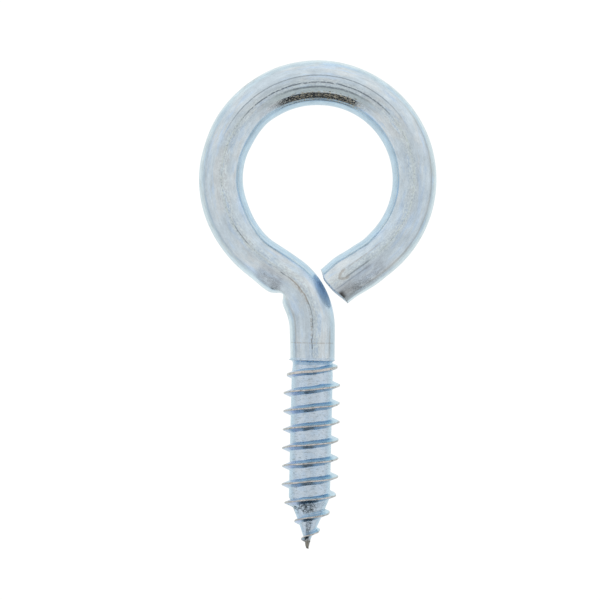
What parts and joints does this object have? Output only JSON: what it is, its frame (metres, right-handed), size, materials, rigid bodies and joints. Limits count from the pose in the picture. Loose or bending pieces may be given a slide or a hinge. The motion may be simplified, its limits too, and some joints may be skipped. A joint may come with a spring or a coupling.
{
  "type": "screw eye",
  "caption": "Closed eye bent from one steel wire, on a straight shank with a coarse right-hand wood thread and a gimlet point.",
  "frame": {"origin": "on the thread's axis, at the upper end of the thread, where the plain shank begins", "axes": "+Z along the thread's axis from the point to the eye, +Y along the eye's hole, +X towards the side of the wire's free end"},
  "size_m": [0.0364, 0.0086, 0.0747],
  "materials": {
    "zinc_plated_wire": "drawn steel wire, bright zinc plated with a pale blue passivate",
    "zinc_plated_thread": "rolled thread, bright zinc plated with a pale blue passivate"
  },
  "bodies": {
    "root": {"eye_ring": "zinc_plated_wire", "neck_bend": "zinc_plated_wire", "plain_shank": "zinc_plated_wire", "threaded_shank": "zinc_plated_thread", "gimlet_point": "zinc_plated_thread"}
  },
  "joints": []
}
